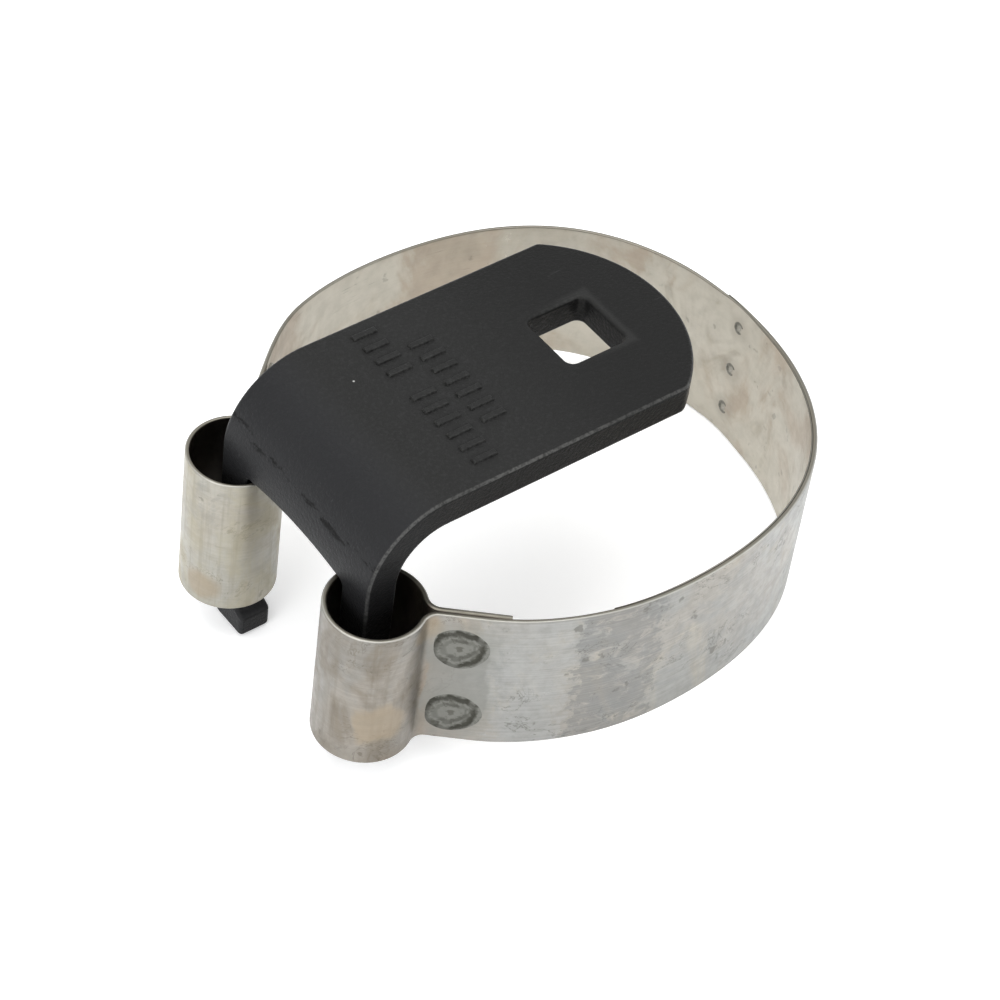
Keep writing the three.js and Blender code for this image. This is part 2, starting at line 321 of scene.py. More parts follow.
def strip_section(sheet):
    """Round a strip's section with its slit edges rounded: (across the sheet, up from the lower edge)."""
    half, r = sheet / 2, min(SLIT_RADIUS, sheet * SLIT_RADIUS_SHARE)
    rows = [r + (BAND_WIDTH - 2 * r) * row / (FACE_ROWS - 1) for row in range(FACE_ROWS)]
    corners = []
    quarters = ((1, BAND_WIDTH - r, 0), (-1, BAND_WIDTH - r, 90), (-1, r, 180), (1, r, 270))
    for sign_x, centre_z, start in quarters:
        arc = []
        for step in range(1, EDGE_STEPS):
            turn = math.radians(start + 90 * step / EDGE_STEPS)
            arc.append((sign_x * (half - r) + r * math.cos(turn), centre_z + r * math.sin(turn)))
        corners.append(arc)
    section = [(half, z) for z in rows] + corners[0] + [(half - r, BAND_WIDTH), (r - half, BAND_WIDTH)]
    section += corners[1] + [(-half, z) for z in reversed(rows)] + corners[2]
    section += [(r - half, 0), (half - r, 0)] + corners[3]
    return section


def strap_mesh(name, line, sheets, side):
    """Sweeps the strip's section along its line. "strip" holds the distance along the strap, the height
    and the face (1 outside, 0 inside). "rolled" is 1 where the sheet is rolled into its eye, and
    "crease" is 1 in the crease where the eye meets its neck."""
    bm = bmesh.new()
    strip_layer = bm.verts.layers.float_vector.new("strip")
    rolled_layer = bm.verts.layers.float.new("rolled")
    crease_layer = bm.verts.layers.float.new("crease")
    loops = []
    travelled = 0.0
    eye_middle = Vector((EYE_CENTRE[0], side * EYE_CENTRE[1]))
    for index, point in enumerate(line):
        before = line[max(index - 1, 0)]
        after = line[min(index + 1, len(line) - 1)]
        travelled += (point - before).length
        heading = (after - before).normalized()
        normal = Vector((heading.y, -heading.x)) * side
        from_eye = (point - eye_middle).length
        rolled = 1 - smooth_step(from_eye, *ROLLED_REACH)
        crease = math.exp(-(((from_eye - CREASE_REACH) / CREASE_WIDTH) ** 2))
        loop = []
        sheet = sheets[index]
        for across, up in strip_section(sheet):
            spot = point + normal * across
            vert = bm.verts.new(place(spot.x, spot.y, BAND_TOP - BAND_WIDTH + up))
            vert[strip_layer] = Vector((travelled * MM, up * MM, across / sheet + 0.5))
            vert[rolled_layer] = rolled
            vert[crease_layer] = crease
            loop.append(vert)
        loops.append(loop)
    for one, other in zip(loops, loops[1:]):
        for k in range(len(one)):
            nxt = (k + 1) % len(one)
            bm.faces.new((one[k], one[nxt], other[nxt], other[k]))
    bm.faces.new(loops[0])
    bm.faces.new(loops[-1])
    return finish_mesh(bm, name)


def weld_mesh(name, profile, half_stack, middle, axis, draw):
    """A pressed weld nugget, seen on both faces, as a turned lens with slightly uneven rings."""
    bm = bmesh.new()
    tilt = draw.uniform(0, 2 * math.pi)
    faces = []
    for sign in (1, -1):
        rings = []
        for radius, lift in profile:
            if radius == 0:
                rings.append([bm.verts.new((0, 0, sign * (half_stack + lift) * MM))])
                continue
            ring = []
            for k in range(WELD_SEGMENTS):
                turn = 2 * math.pi * k / WELD_SEGMENTS
                uneven = 0.04 * math.sin(2 * turn + tilt) + 0.02 * math.sin(3 * turn + 2 * tilt)
                r = radius * (1 + uneven * 0.7)
                height = half_stack + lift * (1 + 5 * uneven)
                spot = (r * math.cos(turn), r * math.sin(turn), sign * height)
                ring.append(bm.verts.new(in_metres(spot)))
            rings.append(ring)
        for inner, outer in zip(rings, rings[1:]):
            for k in range(WELD_SEGMENTS):
                nxt = (k + 1) % WELD_SEGMENTS
                if len(inner) == 1:
                    bm.faces.new((inner[0], outer[k], outer[nxt]))
                else:
                    bm.faces.new((inner[k], outer[k], outer[nxt], inner[nxt]))
        faces.append(rings[-1])
    for k in range(WELD_SEGMENTS):
        nxt = (k + 1) % WELD_SEGMENTS
        bm.faces.new((faces[0][k], faces[0][nxt], faces[1][nxt], faces[1][k]))
    piece = finish_mesh(bm, name, 60)
    turn = axis.to_track_quat("Z", "Y").to_matrix().to_4x4()
    piece.matrix_world = Matrix.Translation(middle) @ turn
    return piece


def in_plate_axes(point):
    offset = (Vector(point) - DRIVE_CENTRE) / MM
    return offset.dot(ALONG), offset.dot(ACROSS), offset.dot(UP)


def plate_mesh(name):
    """The pressed plate with its sheared edges rounded over and the raised bars softened."""
    bm = bmesh.new()
    bm.from_mesh(frame["nodes"]["drive_plate"].data)
    bmesh.ops.remove_doubles(bm, verts=bm.verts, dist=JOIN_DISTANCE * MM)
    bmesh.ops.dissolve_limit(bm, angle_limit=FLAT_ANGLE, verts=bm.verts, edges=bm.edges)

    def on_bars(vert):
        spot = in_plate_axes(vert.co)
        return all(low < value < high for value, (low, high) in zip(spot, BAR_BOX))

    def on_bar_top(vert):
        return on_bars(vert) and in_plate_axes(vert.co)[2] > BAR_FOOT

    joined = [e for e in bm.edges if len(e.link_faces) == 2]
    sharp = [e for e in joined if e.calc_face_angle() > SHEARED_ANGLE]
    bars = [e for e in sharp if all(on_bar_top(v) for v in e.verts)]
    outline = [e for e in sharp if not any(on_bars(v) for v in e.verts)]
    for vert in {v for e in bars for v in e.verts}:
        vert.co += UP * BAR_RAISE * MM
    # The outline's short edges would hold its rounding back, so only the bars' is kept from overlapping
    for edges, radius, steps, clamp in ((outline, EDGE_ROUND, 4, False), (bars, BAR_ROUND, 3, True)):
        bmesh.ops.bevel(
            bm, geom=[e for e in edges if e.is_valid], offset=radius * MM, segments=steps,
            profile=0.5, affect="EDGES", clamp_overlap=clamp,
        )
    bmesh.ops.triangulate(bm, faces=[f for f in bm.faces if len(f.verts) > 4])
    return finish_mesh(bm, name, 38)


# ---- Materials ----


class Paint:
    """A material's node tree, with a short call for each kind of node used here."""

    def __init__(self, name):
        self.material = bpy.data.materials.new(name)
        self.material.use_nodes = True
        self.tree = self.material.node_tree
        self.shader = self.tree.nodes["Principled BSDF"]

    def node(self, kind, inputs, **settings):
        made = self.tree.nodes.new(kind)
        for key, value in settings.items():
            setattr(made, key, value)
        for socket, value in inputs.items():
            if isinstance(value, bpy.types.NodeSocket):
                self.tree.links.new(value, made.inputs[socket])
            else:
                made.inputs[socket].default_value = value
        return made

    def position(self):
        return self.node("ShaderNodeTexCoord", {}).outputs["Object"]

    def attribute(self, name, output="Vector"):
        return self.node("ShaderNodeAttribute", {}, attribute_name=name).outputs[output]

    def maths(self, operation, first, second=0.0, clamp=False):
        made = self.node("ShaderNodeMath", {0: first, 1: second}, operation=operation, use_clamp=clamp)
        return made.outputs[0]

    def times(self, *factors):
        product, *others = factors
        for factor in others:
            product = self.maths("MULTIPLY", product, factor)
        return product

    def plus(self, first, second, clamp=False):
        return self.maths("ADD", first, second, clamp)

    def minus(self, first, second):
        return self.maths("SUBTRACT", first, second)

    def unsigned(self, value):
        return self.maths("ABSOLUTE", value)

    def offset(self, position, origin):
        inputs = {0: position, 1: origin}
        return self.node("ShaderNodeVectorMath", inputs, operation="SUBTRACT").outputs[0]

    def stretch(self, vector, scale, turn=(0, 0, 0), shift=(0, 0, 0)):
        inputs = {"Vector": vector, "Scale": scale, "Rotation": turn, "Location": shift}
        return self.node("ShaderNodeMapping", inputs).outputs[0]

    def noise(self, vector, scale, detail=3.0, roughness=0.55, distortion=0.0):
        inputs = {
            "Vector": vector, "Scale": scale, "Detail": detail,
            "Roughness": roughness, "Distortion": distortion,
        }
        return self.node("ShaderNodeTexNoise", inputs).outputs["Fac"]

    def ramp(self, value, low, high, to_low=0.0, to_high=1.0):
        inputs = {"Value": value, "From Min": low, "From Max": high, "To Min": to_low, "To Max": to_high}
        return self.node("ShaderNodeMapRange", inputs, interpolation_type="SMOOTHSTEP").outputs[0]

    def mix(self, share, first, second):
        inputs = {0: share}
        for socket, value in ((6, first), (7, second)):
            inputs[socket] = (*value, 1.0) if isinstance(value, tuple) else value
        made = self.node("ShaderNodeMix", inputs, data_type="RGBA")
        return made.outputs[2]

    def dot(self, vector, direction):
        made = self.node("ShaderNodeVectorMath", {0: vector, 1: direction}, operation="DOT_PRODUCT")
        return made.outputs["Value"]

    def distance(self, vector, point):
        made = self.node("ShaderNodeVectorMath", {0: vector, 1: point}, operation="DISTANCE")
        return made.outputs["Value"]

    def nearest(self, position, points):
        """Distance from the nearest of some points, or a metre where they are all farther off."""
        found = 1.0
        for point in points:
            found = self.maths("MINIMUM", found, self.distance(position, point))
        return found

    def xyz(self, vector):
        return self.node("ShaderNodeSeparateXYZ", {0: vector}).outputs

    def bump(self, layers):
        """Adds bumps one after another: (height, strength, depth in metres)."""
        normal = None
        for height, strength, depth in layers:
            inputs = {"Height": height, "Strength": strength, "Distance": depth}
            if normal is not None:
                inputs["Normal"] = normal
            normal = self.node("ShaderNodeBump", inputs).outputs[0]
        self.tree.links.new(normal, self.shader.inputs["Normal"])

    def out(self, colour, roughness, **uniform):
        self.tree.links.new(colour, self.shader.inputs["Base Color"])
        self.tree.links.new(roughness, self.shader.inputs["Roughness"])
        for name, value in uniform.items():
            self.shader.inputs[name.replace("_", " ")].default_value = value
        return self.material


def edge_share(paint, radius):
    """1 on edges and corners, 0 on flats: how far the rounded-off normal turns from the true one."""
    rounded = paint.node("ShaderNodeBevel", {"Radius": radius}, samples=6).outputs[0]
    true = paint.node("ShaderNodeNewGeometry", {}).outputs["Normal"]
    return paint.ramp(paint.dot(rounded, true), 0.97, 0.80)


def black_oxide():
    """The plate's finish: black, with stretch marks on the bend, rubbed edges, scuffs and dust, and
    painted shade and highlights.
    """
    paint = Paint("black_oxide")
    position = paint.position()
    centre = paint.offset(position, DRIVE_CENTRE)
    along = paint.dot(centre, ALONG)
    up = paint.dot(centre, UP)
    across = paint.dot(centre, ACROSS)
    plate = paint.node("ShaderNodeCombineXYZ", {0: along, 1: across, 2: up}).outputs[0]

    cloud = paint.noise(position, 38, 4)
    fine = paint.noise(position, 1500, 3, 0.65)
    grit = paint.noise(position, 4200, 2, 0.6)
    colour = paint.mix(cloud, (0.0105, 0.0105, 0.010), (0.0155, 0.0155, 0.015))
    colour = paint.mix(paint.ramp(fine, 0.45, 0.75, 0, 0.5), colour, (0.026, 0.026, 0.026))

    # Painted shade, darker towards the nose, and a painted highlight on the lip of the hole
    painted_nose_shade = paint.ramp(along, *in_metres(NOSE_SHADE), 0, 0.65)
    colour = paint.mix(painted_nose_shade, colour, (0.0045, 0.0045, 0.0042))
    off_hole = paint.maths("MAXIMUM", paint.unsigned(along), paint.unsigned(across))
    lip_highlight = paint.times(
        paint.ramp(off_hole, *in_metres(LIP_REACH)), paint.ramp(up, *in_metres(LIP_DEPTH)),
    )
    lip_highlight = paint.times(lip_highlight, paint.ramp(along, *in_metres(LIP_SIDE), 0.05, 0.35))
    colour = paint.mix(lip_highlight, colour, (0.034, 0.034, 0.033))

    # Bend: painted bluish sheen, with a broken line of stretch marks across it
    bend_sheen = paint.ramp(along, BEND_START * MM, (BEND_START - 9) * MM)
    colour = paint.mix(paint.times(bend_sheen, 0.6), colour, (0.0185, 0.0188, 0.0208))
    grain = paint.noise(paint.stretch(plate, (700, 230, 700)), 1.0, 4, 0.7)
    waver = paint.ramp(paint.noise(plate, 130, 3), 0.3, 0.7, -0.9 * MM, 0.9 * MM)
    off_line = paint.unsigned(paint.plus(paint.minus(up, STRETCH_LINE * MM), waver))
    marks = paint.times(paint.ramp(grain, 0.46, 0.56), paint.ramp(off_line, 0.8 * MM, 0.2 * MM))
    marks = paint.times(marks, paint.ramp(along, *in_metres(MARKS_ALONG)))
    colour = paint.mix(paint.times(marks, 0.9), colour, (0.002, 0.002, 0.002))

    # Painted shade: faces below the flat top and the sheared sides are darker, and so are the crevices
    # round the raised bars
    normal = paint.node("ShaderNodeNewGeometry", {}).outputs["Normal"]
    sideways = paint.unsigned(paint.dot(normal, ACROSS))
    side = paint.ramp(sideways, 0.86, 0.97)
    below = paint.times(
        paint.ramp(up, *in_metres(SHEARED_UP)), paint.ramp(along, *in_metres(SHEARED_ALONG)),
    )
    side = paint.maths("MAXIMUM", side, below)
    colour = paint.mix(paint.times(side, 0.75), colour, (0.004, 0.004, 0.004))
    # Painted shade in the crevices round the raised bars, from ambient occlusion
    crevice = paint.node(
        "ShaderNodeAmbientOcclusion", {"Distance": 1.1 * MM}, samples=8, only_local=True,
    )
    crevice_shade = paint.ramp(crevice.outputs["AO"], 0.98, 0.62)
    colour = paint.mix(paint.times(crevice_shade, 0.9), colour, (0.001, 0.001, 0.001))

    # Painted shade on the prongs where the eyes cover them
    prong_shade = paint.times(
        paint.ramp(up, *in_metres(PRONG_SHADE_TOP)), paint.ramp(up, *in_metres(PRONG_SHADE_FOOT)),
    )
    colour = paint.mix(paint.times(prong_shade, 0.75), colour, (0.002, 0.002, 0.002))

    # Rubbed edges with a painted highlight along them, scuffs and dust
    rounded = paint.times(paint.ramp(sideways, 0.25, 0.55), paint.ramp(sideways, 0.97, 0.86))
    rounded = paint.times(rounded, paint.ramp(up, *in_metres(EDGE_WEAR_AND_HIGHLIGHT_UP), 0.2, 1.0))
    edge = paint.maths("MAXIMUM", edge_share(paint, 0.75 * MM), paint.times(rounded, 0.36))
    edge = paint.times(edge, paint.ramp(cloud, 0.30, 0.62, 0.35, 1.0))
    rubbed = paint.times(edge, paint.ramp(fine, 0.36, 0.60, 0.3, 1.0))
    # The rubbed edges hold wear and a painted highlight together, full on the front edge
    rubbed = paint.times(rubbed, paint.ramp(across, *in_metres(EDGE_WEAR_AND_HIGHLIGHT_ACROSS), 0.22, 1.0))
    colour = paint.mix(rubbed, colour, (0.17, 0.168, 0.16))
    scuff = paint.noise(paint.stretch(plate, (60, 700, 400), (0, 0, 0.5)), 1.0, 3)
    scuff = paint.ramp(scuff, 0.69, 0.77, 0, 0.22)
    colour = paint.mix(scuff, colour, (0.07, 0.07, 0.072))
    cells = paint.node("ShaderNodeTexVoronoi", {"Vector": position, "Scale": 150.0}, feature="F1")
    chosen = paint.ramp(paint.xyz(cells.outputs["Color"])[0], 0.68, 0.70)
    speck = paint.times(paint.ramp(cells.outputs["Distance"], 0.055, 0.03), chosen)
    colour = paint.mix(paint.times(speck, 0.9), colour, (0.5, 0.5, 0.48))

    rough = paint.ramp(cloud, 0.3, 0.7, 0.36, 0.50)
    rough = paint.plus(rough, paint.times(marks, 0.15))
    paint.bump([(fine, 0.75, 0.0002), (grit, 0.4, 0.00006), (marks, -0.6, 0.00015)])
    return paint.out(colour, rough, Specular_IOR_Level=0.12)


def spring_steel(name, shading_tone, eye_tone, eye_welds, seam_welds, stains, rubs):
    """Cold-rolled strip: rolling lines, stains, scuffs and the heat tint round each weld, with painted
    shade on the outside and in the eyes, and a painted highlight and shade on the slit edges.

    Stains are (middle, radius) in metres. Rubs are on the outside, each (start, stop, share, colour)
    with its start and stop in millimetres along the strap.
    """
    paint = Paint(name)
    position = paint.position()
    strip = paint.attribute("strip")
    travelled, _, face = paint.xyz(strip)
    rolled = paint.attribute("rolled", "Fac")
    crease = paint.attribute("crease", "Fac")
    outside = paint.ramp(face, 0.3, 0.7)

    cloud = paint.noise(position, 42, 4, 0.5, 0.4)
    patchy = paint.noise(paint.stretch(position, (1, 1, 0.6), shift=(0.3, 0.1, 0.2)), 85, 5, 0.6, 1.2)
    lines = paint.noise(paint.stretch(strip, (30, 2600, 3)), 1.0, 4, 0.6)
    mottle = paint.noise(position, 420, 4, 0.65)

    inner = paint.mix(cloud, (0.37, 0.345, 0.285), (0.60, 0.57, 0.50))
    # Painted shade: the outside's colour is scaled by the strap's tone, darker on the front strap than on
    # the rear one
    outer = paint.mix(cloud, tuple(0.27 * c for c in shading_tone), tuple(0.42 * c for c in shading_tone))
    colour = paint.mix(outside, inner, outer)
    broad = paint.noise(paint.stretch(position, (1, 1, 0.8), shift=(0.7, 0.2, 0.5)), 48, 5, 0.6, 0.8)
    tarnish = paint.ramp(broad, 0.47, 0.60, 0, 0.75)
    tarnish = paint.times(tarnish, paint.ramp(outside, 0, 1, 1, 0.3))
    colour = paint.mix(tarnish, colour, (0.37, 0.305, 0.235))
    stain = paint.ramp(patchy, 0.50, 0.70)
    colour = paint.mix(paint.times(stain, 0.5), colour, (0.41, 0.37, 0.30))
    grey = paint.noise(paint.stretch(position, (1, 1, 1), shift=(1.7, 0.4, 0.9)), 60, 6, 0.7, 2.0)
    grey = paint.times(paint.ramp(grey, 0.52, 0.60), outside)
    colour = paint.mix(paint.times(grey, 0.45), colour, (0.215, 0.22, 0.215))
    for start, stop, share, rub_colour in rubs:
        ragged = paint.ramp(paint.noise(strip, 260, 5, 0.75), 0.25, 0.75, -2.2 * MM, 2.2 * MM)
        at = paint.plus(travelled, ragged)
        begun = paint.ramp(at, start * MM, (start + 0.7) * MM)
        unended = paint.ramp(at, (stop + 0.7) * MM, stop * MM)
        broken = paint.noise(paint.stretch(strip, (1, 1.6, 1)), 210, 5, 0.7, 1.5)
        rubbed = paint.times(begun, unended, outside, paint.ramp(broken, 0.36, 0.50))
        colour = paint.mix(paint.times(rubbed, share), colour, rub_colour)
    mottled = paint.ramp(mottle, 0.35, 0.75, 0.0, 0.30)
    mottled = paint.times(mottled, paint.ramp(outside, 0, 1, 0.35, 1))
    colour = paint.mix(mottled, colour, (0.19, 0.187, 0.175))
    lined = paint.ramp(lines, 0.40, 0.66, 0.0, 0.07)
    lined = paint.times(lined, paint.ramp(outside, 0, 1, 0.4, 1))
    colour = paint.mix(lined, colour, (0.72, 0.71, 0.69))

    # Scratches at two slants, in places only
    scratched = 0.0
    for turn, shift in ((0.5, 0.0), (-0.9, 2.0)):
        slanted = paint.stretch(strip, (90, 2100, 2), (0, 0, turn), (shift, shift, 0))
        scratch = paint.ramp(paint.noise(slanted, 1.0, 2, 0.4), 0.70, 0.74)
        scratched = paint.maths("MAXIMUM", scratched, scratch)
    where = paint.ramp(paint.noise(position, 130, 2), 0.48, 0.62)
    scratched = paint.times(scratched, where)
    colour = paint.mix(paint.times(scratched, 0.55), colour, (0.16, 0.155, 0.145))

    # Dark pits, and thin wandering wisps of dried oil
    pits = paint.ramp(paint.noise(position, 330, 3, 0.5), 0.66, 0.72, 0, 0.6)
    pits = paint.times(pits, paint.ramp(outside, 0, 1, 0.5, 1))
    colour = paint.mix(pits, colour, (0.10, 0.097, 0.085))
    swirl = paint.noise(paint.stretch(position, (1, 1, 1.4), shift=(2.1, 0.9, 0.3)), 75, 5, 0.7, 0.6)
    wisp = paint.ramp(paint.unsigned(paint.minus(swirl, 0.5)), 0.012, 0.002)
    oiled = paint.noise(paint.stretch(position, (1, 1, 1), shift=(4, 1, 2)), 90, 3)
    wisp = paint.times(wisp, paint.ramp(oiled, 0.50, 0.62, 0, 0.55), outside)
    colour = paint.mix(wisp, colour, (0.09, 0.088, 0.075))

    # Rolled eyes: upright streaks outside, painted shade inside, brown in the crease and in a few stains
    streak = paint.noise(paint.stretch(strip, (900, 25, 3)), 1.0, 3, 0.6)
    streak = paint.times(paint.ramp(streak, 0.48, 0.66, 0, 0.6), rolled)
    streak = paint.times(streak, outside)
    colour = paint.mix(streak, colour, (0.22, 0.21, 0.185))
    warm = paint.times(rolled, outside, paint.ramp(patchy, 0.40, 0.62, 0.15, 0.55))
    colour = paint.mix(warm, colour, tuple(c * k for c, k in zip((0.37, 0.355, 0.275), eye_tone)))
    # Painted shade on the inside of the rolled eyes, nearly black
    bore_shade = paint.times(rolled, paint.ramp(face, 0.25, 0.05))
    colour = paint.mix(paint.times(bore_shade, 0.96), colour, (0.02, 0.019, 0.018))
    brown = paint.times(crease, paint.ramp(patchy, 0.35, 0.6, 0.45, 1.0))
    colour = paint.mix(paint.times(brown, 0.7), colour, (0.24, 0.18, 0.125))
    for centre, radius in stains:
        ragged = paint.ramp(patchy, 0.3, 0.7, -0.35 * radius, 0.35 * radius)
        near = paint.plus(paint.distance(position, centre), ragged)
        spot = paint.ramp(near, radius, radius * 0.45)
        colour = paint.mix(paint.times(spot, 0.6), colour, (0.27, 0.215, 0.145))

    # Heat tint round the eye's welds and between them, and round the seam's welds
    wander = paint.ramp(paint.noise(position, 240, 3), 0.3, 0.7, -0.6 * MM, 0.6 * MM)
    nearest = paint.plus(paint.nearest(position, eye_welds), wander)
    haze = paint.ramp(nearest, 8.5 * MM, 5.5 * MM, 0.0, 0.35)
    colour = paint.mix(haze, colour, (0.185, 0.185, 0.165))
    offset = paint.offset(position, eye_welds[0])
    lift = paint.dot(offset, UP)
    level = paint.minus(paint.dot(offset, offset), paint.times(lift, lift))
    sideways = paint.plus(paint.maths("SQRT", level), wander)
    between = paint.times(
        paint.ramp(sideways, 6.0 * MM, 5.2 * MM), paint.ramp(lift, 3 * MM, -1 * MM),
    )
    between = paint.times(between, paint.ramp(lift, -20 * MM, -14 * MM))
    colour = paint.mix(paint.times(between, 0.7), colour, (0.20, 0.20, 0.185))
    haze = paint.ramp(paint.nearest(position, seam_welds), 4.0 * MM, 1.6 * MM, 0.0, 0.35)
    colour = paint.mix(haze, colour, (0.27, 0.24, 0.20))

    # Slit edges: a painted highlight towards the outside face and painted shade towards the inside face
    rim = paint.ramp(paint.unsigned(paint.minus(face, 0.5)), 0.49, 0.40)
    edge = paint.mix(paint.ramp(face, 0.55, 0.85), (0.15, 0.14, 0.115), (0.40, 0.39, 0.355))
    colour = paint.mix(paint.times(rim, 0.85), colour, edge)

    rough = paint.ramp(cloud, 0.3, 0.7, 0.30, 0.44)
    rough = paint.plus(rough, paint.ramp(stain, 0, 1, 0, 0.10))
    rough = paint.plus(rough, paint.ramp(mottle, 0.3, 0.7, -0.04, 0.08), clamp=True)
    paint.bump([
        (lines, 0.10, 0.00004), (mottle, 0.22, 0.00006), (scratched, -0.4, 0.00004), (cloud, 0.3, 0.0006),
    ])
    return paint.out(colour, rough, Metallic=0.92)


def weld_steel(name, rings, pale_middle, dull, bright):
    """Heat-darkened nugget with dark rings, each (radius, half width, share) in millimetres. The axes of
    its piece have the weld's middle as origin. A pale middle goes with a clean nugget without smudges."""
    paint = Paint(name)
    position = paint.position()
    parts = paint.xyz(position)
    flat = paint.node("ShaderNodeCombineXYZ", {0: parts[0], 1: parts[1]}).outputs[0]
    reach = rings[-1][0] * MM
    wander = paint.ramp(paint.noise(position, 1.3 / reach, 4, 0.6), 0.3, 0.7, -0.15 * reach, 0.15 * reach)
    out = paint.plus(paint.distance(flat, (0, 0, 0)), wander)
    mottle = paint.noise(position, 800, 4, 0.7)
    colour = paint.mix(mottle, dull, bright)
    uneven = paint.noise(position, 0.9 / reach, 4, 0.6)
    uneven = paint.ramp(uneven, 0.40, 0.58, 0.65 if pale_middle else 0.5, 1.0)
    for radius, width, share in rings:
        off = paint.unsigned(paint.minus(out, radius * MM))
        ring = paint.times(paint.ramp(off, width * MM, 0.25 * width * MM, 0, share), uneven)
        colour = paint.mix(ring, colour, (0.03, 0.029, 0.022))
    smudge = paint.noise(position, 2.2 / reach, 5, 0.7, 0.8)
    smudge = paint.ramp(smudge, 0.50, 0.66, 0, 0.0 if pale_middle else 0.6)
    colour = paint.mix(smudge, colour, (0.06, 0.059, 0.048))
    middle = paint.ramp(out, 0.16 * reach, 0.08 * reach, 0.0, 0.75)
    colour = paint.mix(middle, colour, (0.50, 0.49, 0.46) if pale_middle else (0.075, 0.072, 0.06))
    rough = paint.ramp(mottle, 0.3, 0.7, 0.36, 0.58)
    paint.bump([(mottle, 0.45, 0.00012)])
    return paint.out(colour, rough, Metallic=0.85)


def floor_paint():
    paint = Paint("floor_paint")
    grain = paint.noise(paint.position(), 6, 2)
    colour = paint.mix(grain, (0.955, 0.955, 0.955), (0.965, 0.965, 0.965))
    paint.shader.inputs["Emission Color"].default_value = (1, 1, 1, 1)
    rough = paint.ramp(grain, 0.3, 0.7, 0.82, 0.88)
    return paint.out(colour, rough, Specular_IOR_Level=0.1, Emission_Strength=0.3)


# ---- Pieces ----


def add_piece(piece, body, slot_name, material, *nodes):
    piece.data.materials.append(material)
    if body:
        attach(piece, body)
    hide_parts(*nodes)


def weld_places(side):
    """Middles of an eye's two welds and the direction square to its neck, in the row frame."""
    spot = neck_point(side, EYE_WELD_ALONG, 0)
    middles = [place(spot.x, spot.y, BAND_TOP + depth) for depth in EYE_WELD_DEPTHS]
    outward = neck_point(side, 0, 1) - neck_point(side, 0, 0)
    return middles, (ALONG * outward.x + ACROSS * outward.y).normalized()


def stain(side, along, across, depth, radius):
    """Middle and radius of a stain near an eye, in metres in the row frame."""
    middle = place(EYE_CENTRE[0] + along, side * EYE_CENTRE[1] + across, BAND_TOP + depth)
    return middle, radius * MM


def make_straps(seam_places, rear_welds, front_welds):
    # Painted shade: the front strap's outside is toned darker than the rear's
    rear_shading_tone, front_shading_tone = (0.92, 0.92, 0.86), (0.72, 0.72, 0.68)
    dark, light = (0.145, 0.147, 0.145), (0.30, 0.30, 0.29)
    rear_stains = [stain(1, *REAR_FOOT_STAIN)]
    front_stains = [stain(-1, *FRONT_EYE_STAIN), stain(-1, *FRONT_FOOT_STAIN)]
    front_rubs = [
        (91, 107, 0.6, dark), (108, 120, 0.5, light), (60, 74, 0.35, light), (40, 47, 0.3, dark),
    ]
    rear_paint = spring_steel(
        "spring_steel_rear", rear_shading_tone, rear_shading_tone, rear_welds, seam_places, rear_stains, [],
    )
    front_paint = spring_steel(
        "spring_steel_front", front_shading_tone, dark, front_welds, seam_places, front_stains, front_rubs,
    )

    rear_eye = eye_line(1, REAR_SHEET, REAR_EYE_RADIUS, REAR_NECK_FACE, REAR_NECK_GAP)
    line, sheets = whole_line(rear_ring(), rear_eye, REAR_SHEET)
    rear = strap_mesh("rear_strap_sheet", line, sheets, 1)
    add_piece(rear, None, "spring_steel", rear_paint, "rear_strap")
    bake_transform(rear)

    front_eye = eye_line(-1, FRONT_SHEET, FRONT_EYE_RADIUS, FRONT_NECK_FACE, FRONT_NECK_GAP)
    line, sheets = whole_line(front_ring(), front_eye, FRONT_SHEET)
    front = strap_mesh("front_strap_sheet", line, sheets, -1)
    add_piece(front, "front_band", "spring_steel", front_paint, "front_strap")


def make_seam_welds(half_stack, middles, draw):
    rings = ((1.05, 0.55, 0.75),)
    steel = weld_steel("seam_weld_steel", rings, True, (0.26, 0.25, 0.215), (0.40, 0.385, 0.34))
    angle = math.radians(SEAM_ANGLE)
    axis = ALONG * math.cos(angle) + ACROSS * math.sin(angle)
    for index, middle in enumerate(middles, 1):
        weld = weld_mesh(f"seam_nugget_{index}", SEAM_WELD_PROFILE, half_stack, middle, axis, draw)
        add_piece(weld, "rear_band", "weld_steel", steel, f"seam_weld_{index}")


def make_eye_welds(rear_welds, rear_out, front_welds, front_out, draw):
    rings = ((2.5, 0.8, 0.55), (4.25, 1.0, 0.95))
    steel = weld_steel("eye_weld_steel", rings, False, (0.11, 0.11, 0.098), (0.21, 0.21, 0.19))
    front_half = FRONT_SHEET + FRONT_NECK_GAP / 2
    front_shift = front_out * (FRONT_NECK_FACE - front_half) * MM
    for index, (rear, front) in enumerate(zip(rear_welds, front_welds), 1):
        name = f"rear_eye_nugget_{index}"
        weld = weld_mesh(name, EYE_WELD_PROFILE, REAR_NECK_FACE, rear, rear_out, draw)
        add_piece(weld, "rear_band", "weld_steel", steel, f"rear_eye_weld_{index}")
        name = f"front_eye_nugget_{index}"
        weld = weld_mesh(name, EYE_WELD_PROFILE, front_half, front + front_shift, front_out, draw)
        add_piece(weld, "front_band", "weld_steel", steel, f"front_eye_weld_{index}")


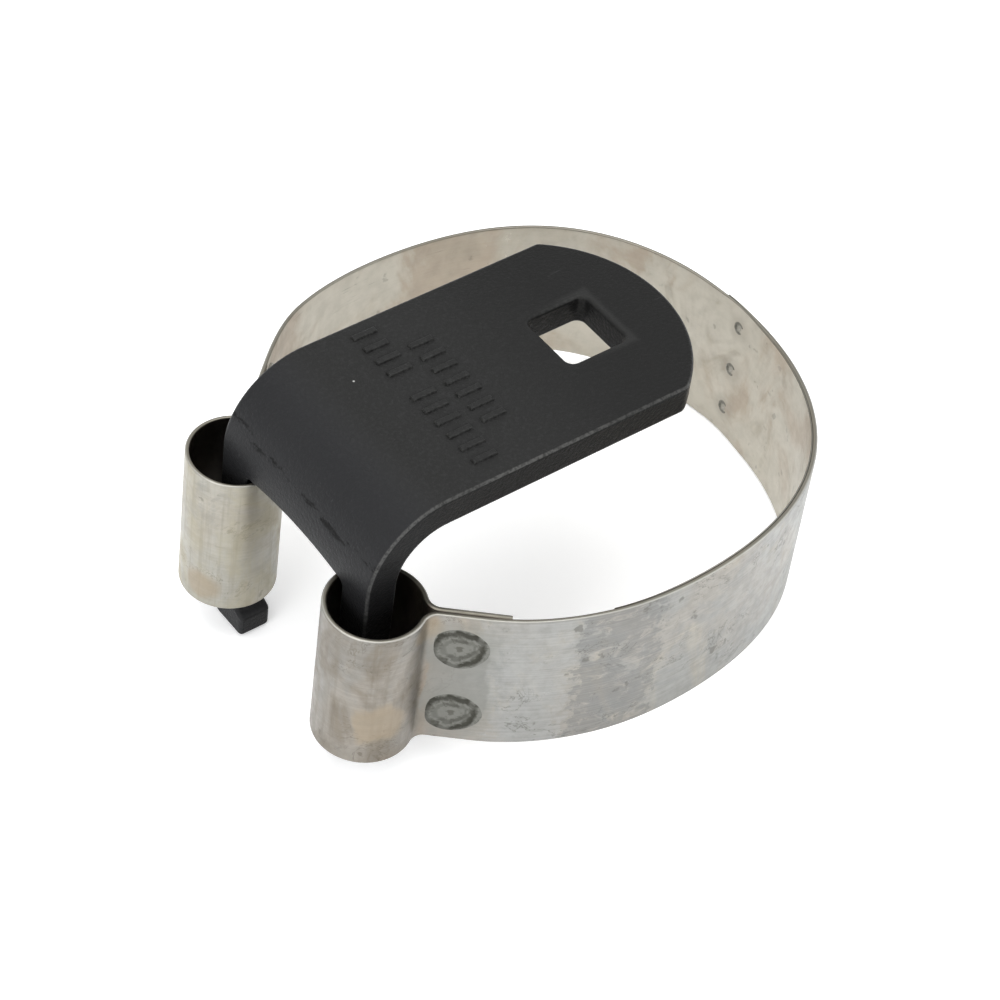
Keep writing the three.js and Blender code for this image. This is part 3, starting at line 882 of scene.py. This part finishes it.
def make_band():
    draw = random.Random(SEED)
    half_stack = (front_sheet(SEAM_ANGLE) + rear_sheet(SEAM_ANGLE) + LAYER_GAP) / 2
    seam = ring_point(SEAM_ANGLE, half_stack)
    seam_places = [place(seam.x, seam.y, BAND_TOP + depth) for depth in SEAM_WELD_DEPTHS]
    front_welds, front_out = weld_places(-1)
    rear_welds, rear_out = weld_places(1)
    make_straps(seam_places, rear_welds, front_welds)
    make_seam_welds(half_stack, seam_places, draw)
    make_eye_welds(rear_welds, rear_out, front_welds, front_out, draw)


def make_plate():
    plate = plate_mesh("drive_plate_body")
    add_piece(plate, "arm", "black_oxide_steel", black_oxide(), "drive_plate")


# ---- Stage ----


def make_floor():
    bm = bmesh.new()
    bmesh.ops.create_grid(bm, x_segments=8, y_segments=8, size=3.0)
    mesh = bpy.data.meshes.new("floor")
    bm.to_mesh(mesh)
    bm.free()
    floor = bpy.data.objects.new("floor", mesh)
    floor.location.z = CAD_LOW.z - 0.05 * MM
    bpy.context.scene.collection.objects.link(floor)
    mesh.materials.append(floor_paint())


def add_area(name, position, aim, size, power, colour=(1, 1, 1)):
    data = bpy.data.lights.new(name, "AREA")
    data.shape = "RECTANGLE"
    data.size, data.size_y = size
    data.energy = power
    data.color = colour
    light = bpy.data.objects.new(name, data)
    light.location = position
    light.rotation_euler = (Vector(position) - Vector(aim)).to_track_quat("Z", "Y").to_euler()
    bpy.context.scene.collection.objects.link(light)


def make_lights():
    world = bpy.data.worlds.new("studio")
    bpy.context.scene.world = world
    world.use_nodes = True
    background = world.node_tree.nodes["Background"]
    background.inputs["Color"].default_value = (0.98, 0.99, 1.0, 1)
    background.inputs["Strength"].default_value = 0.95
    add_area("overhead", (0.05, 0.1, 0.9), (0, 0, 0.03), (0.8, 0.8), 5.0)
    add_area("left", (-0.8, -0.2, 0.55), (0, 0, 0.03), (0.5, 0.6), 2.5)
    add_area("right", (0.7, -0.6, 0.5), (0, 0, 0.03), (0.4, 0.6), 2.0, (0.94, 0.97, 1.0))


def make_camera():
    data = bpy.data.cameras.new("camera")
    data.lens = CAMERA_LENS
    data.sensor_width = SENSOR_WIDTH
    data.clip_start = 0.01
    camera = bpy.data.objects.new("camera", data)
    flat = math.cos(CAMERA_ELEVATION)
    back = Vector((
        math.sin(CAMERA_AZIMUTH) * flat, -math.cos(CAMERA_AZIMUTH) * flat, math.sin(CAMERA_ELEVATION),
    ))
    turn = back.to_track_quat("Z", "Y").to_matrix() @ Matrix.Rotation(CAMERA_ROLL, 3, "Z")
    camera.matrix_world = Matrix.Translation(CAMERA_AIM + back * CAMERA_DISTANCE) @ turn.to_4x4()
    bpy.context.scene.collection.objects.link(camera)
    bpy.context.scene.camera = camera


make_camera()
make_lights()
make_floor()
make_plate()
make_band()
bpy.context.scene.view_settings.view_transform = "Standard"
